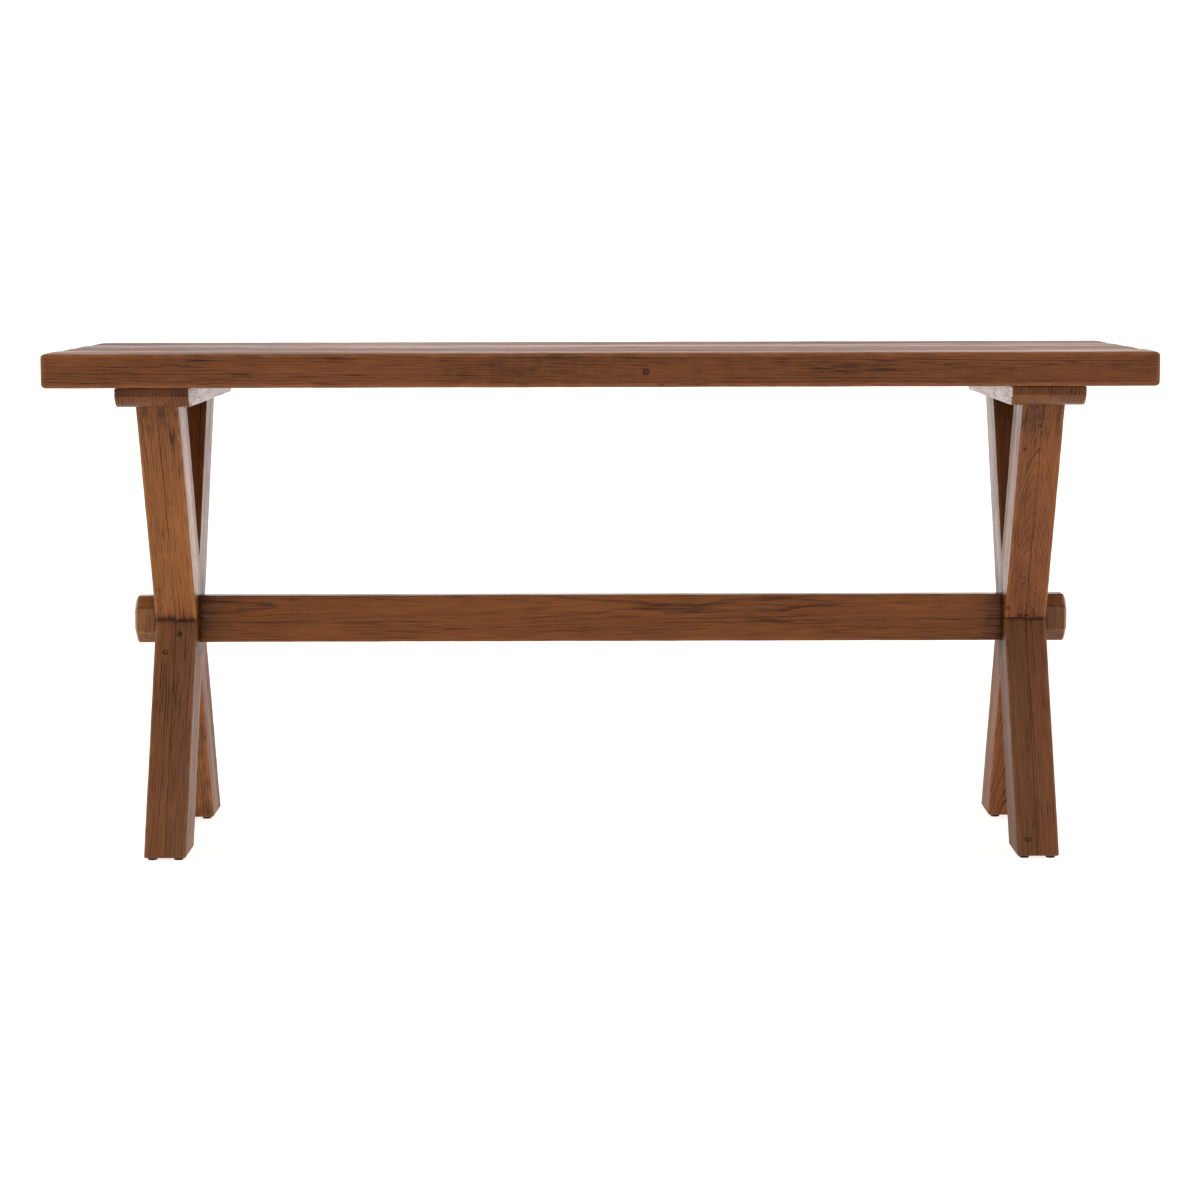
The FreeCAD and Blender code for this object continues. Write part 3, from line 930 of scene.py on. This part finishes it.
def leg_look(side, leg, part, board, leg_length):
    """The wood of one board of a leg; the grain runs on from board to board."""
    key = (side, leg)
    seed = LOOK_SEEDS["leg"] + 10 * list(LEG_LOOKS).index(key)
    knots = edge_knots(board, LEG_KNOTS.get(key, ()))
    if key in LEG_ARCHES:
        point, radius, swelling = LEG_ARCHES[key]
        knots += ((tuple(board.local(point)), radius, swelling, False),)
    settings = {**LEG_LOOKS[key], **BOARD_LOOKS.get((side, leg, part), {})}
    look = Wood(f"{side}_leg_{leg}_{part}_wood", seed, **LEG_GRAINS[key])
    return look.finish_wood(knots=knots, length=leg_length, gloss=0.33, foot_dullness=0.23, relief=1.1,
                            **settings)


# Wide arches in the upper part of the stretcher's front, and close lines in the lower part
STRETCHER_HEART = (0.078, -0.02)


def stretcher():
    """The stretcher between the two crossings."""
    low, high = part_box("stretcher")
    legs = {"left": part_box("left_leg_a_long_board"), "right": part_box("right_leg_b_long_board")}
    start = legs["left"][1].x
    end = legs["right"][0].x
    corners = [(x, high.y, z) for x in (start, end) for z in (low.z, high.z)]
    board = Board(corners, (0, low.y - high.y, 0), (STRETCHER_ARRIS,) * 4, (BUTT_EASE, BUTT_EASE),
                  SHAPE_SEEDS["stretcher"])
    # Painted shade at the stretcher's ends, where they meet the legs
    board.neighbours = [(legs[side], STRETCHER_END_REACHES[side], STRETCHER_END_PAINTED_SHADE) for side in SIDES]
    look = Wood("stretcher_wood", LOOK_SEEDS["stretcher"], spacing=0.005, heart=STRETCHER_HEART)
    material = look.finish_wood("red", dash_length=0.11, streaks=1.0, length=board.length)
    nut_low, nut_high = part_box("stretcher_nuts")
    room = NUT_POCKET_ROOM
    pockets = []
    for first, last in ((nut_low.x, nut_low.x + NUT_THICKNESS), (nut_high.x - NUT_THICKNESS, nut_high.x)):
        mouth = (first - room, nut_low.y - room, low.z - POCKET_MOUTH)
        pockets.append((mouth, (last + room, nut_high.y + room, nut_high.z + room)))
    board.make("stretcher_rail", material, "stretcher_wood", "stretcher", pockets)


def octagon(low, high):
    """The corners of a box's octagonal outline in Y and Z."""
    cut = BLOCK_CHAMFER
    levels_y = (low.y, low.y + cut, high.y - cut, high.y)
    levels_z = (low.z, low.z + cut, high.z - cut, high.z)
    turns = ((0, 1), (1, 0), (2, 0), (3, 1), (3, 2), (2, 3), (1, 3), (0, 2))
    return [np.array((levels_y[y], levels_z[z])) for y, z in turns]


def softened(corners, radius):
    """An outline with rounded corners, and which of its points are on one."""
    points = []
    on_corner = []
    count = len(corners)
    for number, here in enumerate(corners):
        before = corners[number - 1]
        after = corners[(number + 1) % count]
        to_before = (before - here) / np.linalg.norm(before - here)
        to_after = (after - here) / np.linalg.norm(after - here)
        start = here + to_before * radius
        end = here + to_after * radius
        for part in np.linspace(0, 1, ARC_STEPS + 1):
            points.append((1 - part) ** 2 * start + 2 * part * (1 - part) * here + part ** 2 * end)
            on_corner.append(1.0)
        far = after - to_after * radius
        for part in side_fractions(float(np.linalg.norm(far - end))):
            points.append(end + (far - end) * part)
            on_corner.append(0.0)
    return np.array(points), np.array(on_corner)


# The blocks' grain stands upright
BLOCK_STAINS = {"left": "block", "right": "brown"}
BLOCK_HEART = (0.04, -0.12)


def block_profile(run):
    """Places along a block, and how far the bevel round its end draws in its outline at each."""
    turns = np.linspace(math.pi / 2, 0, ARC_STEPS + 1)
    straight = np.linspace(0, run - BLOCK_END_EASE - SUPPORT, BLOCK_RINGS)
    bevel = run - BLOCK_END_EASE * (1 - np.cos(turns) ** BLOCK_END_BULGE)
    drawn_in = BLOCK_END_INSET * (1 - np.sin(turns) ** BLOCK_END_BULGE)
    return np.concatenate([straight, bevel]), np.concatenate([np.zeros_like(straight), drawn_in])


def mark_block(mesh, places, insets, outline, on_corner, low, high):
    """Stores an end block's wear, with a painted highlight on its lower corners, and its stain, with
    painted shade on its lower chamfers and darker lines on its upper corners.
    """
    heights = outline[:, 1]
    is_upper = heights > (low.z + high.z) / 2
    on_rim = np.where(insets > 0, BLOCK_RIM_WEAR, 0.0)
    # Wear with a painted highlight, on the lower corners only
    lower_corner_wear_and_highlight = np.where(is_upper, 0.0, on_corner)
    store(mesh, "edge_wear_and_highlight", with_cap_values(np.maximum(on_rim[:, None], lower_corner_wear_and_highlight), 0.0))
    at_joint = np.exp(-(places / BLOCK_JOINT_REACH) ** 2)
    # Painted shade on the lower chamfers
    darkening = np.where(heights < low.z + BLOCK_CHAMFER, LOWER_CHAMFER_PAINTED_SHADE, 0.0)
    darkening = np.where(is_upper & (on_corner > 0), BLOCK_UPPER_LINE_DARKENING, darkening)
    darkening = np.maximum(at_joint[:, None], darkening)
    store(mesh, "stain_and_painted_shade", with_cap_values(darkening, END_GRAIN_SOAK))


def end_blocks():
    """The octagonal blocks in line with the stretcher, outside the crossings."""
    for number, side in enumerate(SIDES):
        node = f"{side}_end_block"
        low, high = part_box(node)
        inner = leg_sides(side)[number]
        outer = (low.x, high.x)[number]
        outwards = math.copysign(1, outer - inner)
        places, insets = block_profile(abs(outer - inner))
        outline, on_corner = softened(octagon(low, high), BLOCK_ARRIS)
        middle = np.array(((low.y + high.y) / 2, (low.z + high.z) / 2))
        half = np.array((high.y - low.y, high.z - low.z)) / 2
        rings = []
        for place, inset in zip(places, insets):
            drawn_in = middle + (outline - middle) * (1 - inset / half)
            x = np.full((len(outline), 1), inner + outwards * place)
            rings.append(np.concatenate([x, drawn_in], axis=1))
        mesh = smooth_mesh(f"{node}_body", *loft(with_caps(rings)))
        mark_block(mesh, places, insets, outline, on_corner, low, high)
        upright = (points_of(mesh) - (inner, low.y, low.z))[:, ::-1]
        store(mesh, "grain_place", upright)
        look = Wood(f"{node}_wood", LOOK_SEEDS["block"] + number, spacing=0.005, heart=BLOCK_HEART)
        material = look.finish_wood(BLOCK_STAINS[side], lines=0.25, dashes=0.9, dash_length=0.014,
                                    veins=0.1, mottle=0.8, rubbing_and_highlight=0.35)
        place_piece(f"{node}_body", mesh, material, node)


def glide_places():
    """The middles of the sixteen glides, four under each foot."""
    places = []
    for side in SIDES:
        left, right = leg_sides(side)
        outline = Trestle(side).outlines["a", "long"]
        far = outline[0][0] - GLIDE_INSET
        near = outline[1][0] + GLIDE_INSET
        columns = (left + GLIDE_INSET, right - GLIDE_INSET)
        places += [(x, y) for x in columns for y in (-far, -near, near, far)]
    return places


def glides():
    """Black pads under the feet, with a rounded lower rim."""
    low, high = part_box("glides")
    angles = np.linspace(0, 2 * math.pi, GLIDE_SIDES, endpoint=False)
    circle = np.stack([np.cos(angles), np.sin(angles), np.zeros_like(angles)], axis=1)
    turns = np.linspace(0, math.pi / 2, ARC_STEPS + 1)
    radii = [GLIDE_RADIUS - GLIDE_RIM * (1 - math.sin(turn)) for turn in turns]
    levels = [low.z + GLIDE_RIM * (1 - math.cos(turn)) for turn in turns]
    radii.append(GLIDE_RADIUS - GLIDE_TAPER)
    levels.append(high.z)
    all_points = []
    all_faces = []
    for x, y in glide_places():
        rings = [circle * radius + (x, y, level) for radius, level in zip(radii, levels)]
        points, faces = loft(with_caps(rings))
        first = sum(len(group) for group in all_points)
        all_faces += [[first + corner for corner in face] for face in faces]
        all_points.append(points)
    mesh = smooth_mesh("glide_pads", np.concatenate(all_points), all_faces)
    place_piece("glide_pads", mesh, plastic(), "glides")


# Linear colours of the plated steel and of the glides' plastic, dark and light
ZINC_DULL = (0.3, 0.3, 0.29)
ZINC_BRIGHT = (0.62, 0.62, 0.59)
PLASTIC_BLACK = (0.006, 0.0055, 0.0055)
PLASTIC_SCUFFED = (0.032, 0.03, 0.028)


def metal():
    """Zinc-plated steel with dull spots."""
    shader = Shader("zinc_steel", STEEL_SEED)
    shader.read_places(own_places=False)
    spots = shader.noise((160, 160, 160), detail=4.0)
    wipe = shader.noise((900, 900, 60))
    tone = shader.total(spots, (wipe, 0.3))
    colour = shader.ramp(tone, ((0.35, ZINC_DULL), (0.85, ZINC_BRIGHT)))
    rough = shader.total(0.24, (spots, 0.22), (wipe, 0.12))
    relief = shader.bump(shader.total(spots, (wipe, 0.5)), 0.0002, 0.4)
    return shader.finish(Base_Color=colour, Metallic=1.0, Roughness=rough, Normal=relief)


def plastic():
    """Black glide plastic, scuffed by the floor."""
    shader = Shader("glide_plastic", PLASTIC_SEED)
    shader.read_places(own_places=False)
    grain = shader.noise((1200, 1200, 1200))
    scuff = shader.rise(shader.noise((90, 420, 300), detail=3.0), 0.52, 0.7)
    tone = shader.total(0.0, (grain, 0.5), (scuff, 0.5))
    colour = shader.ramp(tone, ((0.1, PLASTIC_BLACK), (0.9, PLASTIC_SCUFFED)))
    rough = shader.total(0.45, (scuff, 0.25), (grain, 0.1))
    return shader.finish(Base_Color=colour, Roughness=rough, Normal=shader.bump(grain, 0.0002, 0.5))


def set_material(node, material):
    """Gives a CAD node's object another material."""
    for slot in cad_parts[node].material_slots:
        slot.material = material


def dress_hidden_pieces():
    """Materials for the CAD nodes that stay: fasteners and the tongues in the seams."""
    steel = metal()
    for node in ("top_screws", "top_screw_washers", "stretcher_bolts", "stretcher_nuts", "glide_nails"):
        set_material(node, steel)
    for number, name in enumerate(("front", "middle", "rear")):
        look = Wood(f"spline_{name}_wood", LOOK_SEEDS["spline"] + number, own_places=False)
        set_material(f"plank_spline_{name}", look.finish_wood("bare"))


# The photograph's camera: place, lens, sensor, how far it sees, and turn
CAMERA_PLACE = (-0.0119, -6.8839, 1.268)
CAMERA_LENS = 95.17
CAMERA_SENSOR = 36
CAMERA_VIEW_END = 1000
CAMERA_PITCH = 0.109
CAMERA_ROLL = -0.0024
CAMERA_YAW = -0.0015


def camera():
    """A camera at the photograph's viewing angle."""
    data = bpy.data.cameras.new("front_camera")
    data.lens = CAMERA_LENS
    data.sensor_width = CAMERA_SENSOR
    data.sensor_fit = "HORIZONTAL"
    data.clip_end = CAMERA_VIEW_END
    viewer = add_object("front_camera", data)
    turn = (Matrix.Rotation(CAMERA_YAW, 4, "Z") @ Matrix.Rotation(math.pi / 2 - CAMERA_PITCH, 4, "X")
            @ Matrix.Rotation(CAMERA_ROLL, 4, "Z"))
    viewer.matrix_world = Matrix.Translation(CAMERA_PLACE) @ turn
    bpy.context.scene.camera = viewer


FLOOR_REACH = 150.0
FLOOR_SIDES = 96
FLOOR_COLOUR = (0.36, 0.358, 0.356, 1)
FLOOR_ROUGHNESS = 0.9
FLOOR_SHINE = 0.1
FLOOR_GLOW = 0.87
STUDIO_COLOUR = (1.0, 0.935, 0.915, 1)

# Brightness of the studio and its backdrop, and between which directions in Y the front gives way
FRONT_LIGHT = 0.33
REAR_LIGHT = 1.15
SIDE_LIGHT = 0.75
OVERHEAD_LIGHT = 0.7
BACKDROP = 1.25
FRONT_TO_REAR = (-0.7, 0.5)


def floor():
    """A plain pale floor."""
    shell = bmesh.new()
    bmesh.ops.create_circle(shell, cap_ends=True, segments=FLOOR_SIDES, radius=FLOOR_REACH)
    mesh = bpy.data.meshes.new("floor")
    shell.to_mesh(mesh)
    shell.free()
    ground = add_object("floor", mesh)
    mesh.materials.append(Shader("pale_floor").finish(
        Base_Color=FLOOR_COLOUR, Roughness=FLOOR_ROUGHNESS, Specular_IOR_Level=FLOOR_SHINE,
        Emission_Color=STUDIO_COLOUR, Emission_Strength=FLOOR_GLOW))


def studio_light():
    """Soft white light from all round, strongest from overhead and behind, weakest from the front."""
    world = bpy.data.worlds.new("white_studio")
    world.use_nodes = True
    graph = Graph(world.node_tree)
    direction = graph.split(graph.add("TexCoord", {}).outputs["Generated"])
    rearwards = graph.rise(direction["Y"], *FRONT_TO_REAR)
    rear = graph.total(FRONT_LIGHT, (rearwards, REAR_LIGHT - FRONT_LIGHT))
    height = graph.math("MAXIMUM", direction["Z"], 0.0)
    aside = graph.times(direction["X"], direction["X"])
    around = graph.total(rear, (aside, SIDE_LIGHT), (graph.times(height, height), OVERHEAD_LIGHT))
    seen = graph.add("LightPath", {}).outputs["Is Camera Ray"]
    strength = graph.total(around, (seen, BACKDROP), (graph.times(seen, around), -1.0))
    backdrop = graph.nodes["Background"].inputs
    graph.feed(backdrop["Color"], STUDIO_COLOUR)
    graph.feed(backdrop["Strength"], strength)
    bpy.context.scene.world = world
    bpy.context.scene.view_settings.view_transform = "Standard"


plank_boards()
cleats()
leg_boards()
stretcher()
end_blocks()
glides()
dress_hidden_pieces()
camera()
floor()
studio_light()
